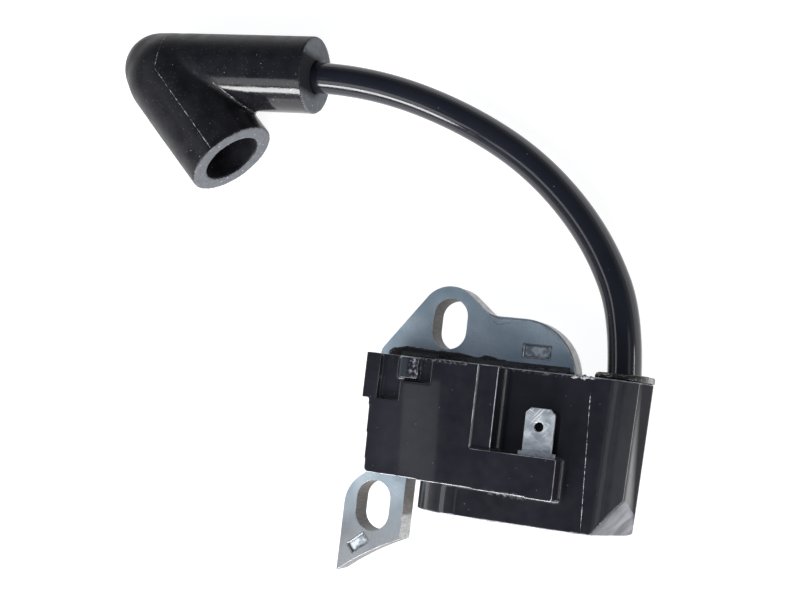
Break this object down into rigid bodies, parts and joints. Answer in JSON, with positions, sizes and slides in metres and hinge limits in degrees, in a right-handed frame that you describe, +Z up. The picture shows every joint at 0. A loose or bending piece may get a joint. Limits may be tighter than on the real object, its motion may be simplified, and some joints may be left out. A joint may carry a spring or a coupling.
{
  "type": "ignition coil",
  "caption": "Ignition coil: laminated U core with slotted ears, potted black coil housing with a stop tab, and a high tension lead that ends in a rubber plug boot.",
  "frame": {"origin": "centre of the bottom of the coil body's own box, without the lead and boot", "axes": "+X along the body's long side towards the lead's tower, +Y from the flywheel side to the potted open side, +Z up the lamination stack from the surface it lies on"},
  "size_m": [0.1039, 0.0918, 0.022],
  "materials": {
    "core_steel": "satin",
    "bobbin_plastic": "satin",
    "copper_wire": "satin",
    "board_laminate": "satin",
    "component_plastic": "satin",
    "capacitor_film": "gloss",
    "resistor_ceramic": "satin",
    "tinned_metal": "satin",
    "housing_plastic": "satin",
    "potting_resin": "gloss",
    "contact_brass": "satin",
    "lead_rubber": "gloss",
    "conductor_wire": "satin",
    "boot_rubber": "satin",
    "spring_steel": "satin"
  },
  "bodies": {
    "root": {"lamination_01": "core_steel", "lamination_02": "core_steel", "lamination_03": "core_steel", "lamination_04": "core_steel", "lamination_05": "core_steel", "lamination_06": "core_steel", "lamination_07": "core_steel", "lamination_08": "core_steel", "lamination_09": "core_steel", "lamination_10": "core_steel", "primary_bobbin": "bobbin_plastic", "primary_winding": "copper_wire", "secondary_bobbin": "bobbin_plastic", "secondary_winding": "copper_wire", "circuit_board": "board_laminate", "switching_transistor": "component_plastic", "trigger_thyristor": "component_plastic", "timing_capacitor": "capacitor_film", "bias_resistors": "resistor_ceramic", "clamp_diode": "component_plastic", "primary_terminal_pins": "tinned_metal", "ground_pin": "tinned_metal", "stop_terminal": "tinned_metal", "high_tension_link": "tinned_metal", "housing": "housing_plastic", "potting_resin": "potting_resin", "high_tension_contact": "contact_brass", "lead_seal": "potting_resin", "ignition_lead": "lead_rubber", "lead_conductor": "conductor_wire", "plug_boot": "boot_rubber", "plug_contact_spring": "spring_steel"}
  },
  "joints": []
}
